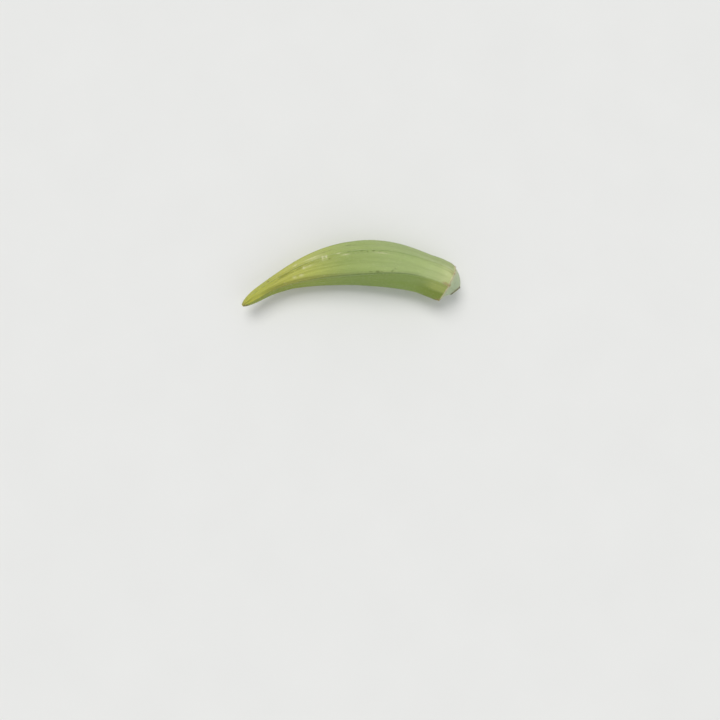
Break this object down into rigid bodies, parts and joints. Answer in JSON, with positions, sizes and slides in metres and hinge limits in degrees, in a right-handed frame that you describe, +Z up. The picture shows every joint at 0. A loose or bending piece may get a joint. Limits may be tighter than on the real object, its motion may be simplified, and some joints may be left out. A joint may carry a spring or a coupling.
{
  "type": "okra pod",
  "caption": "Curved okra pod lying on its side: a ridged green body narrowing to a beak, with a calyx scar, a cone-shaped cap and a short cut stem end.",
  "frame": {"origin": "on the surface that the pod lies on, under the middle of its bounding box", "axes": "+X along the pod from the beak to the cut stem, +Y towards the outside of the bend, +Z up from the surface"},
  "size_m": [0.1068, 0.0328, 0.0204],
  "materials": {
    "pod_skin": "satin"
  },
  "bodies": {
    "root": {"okra_pod": "pod_skin"}
  },
  "joints": []
}
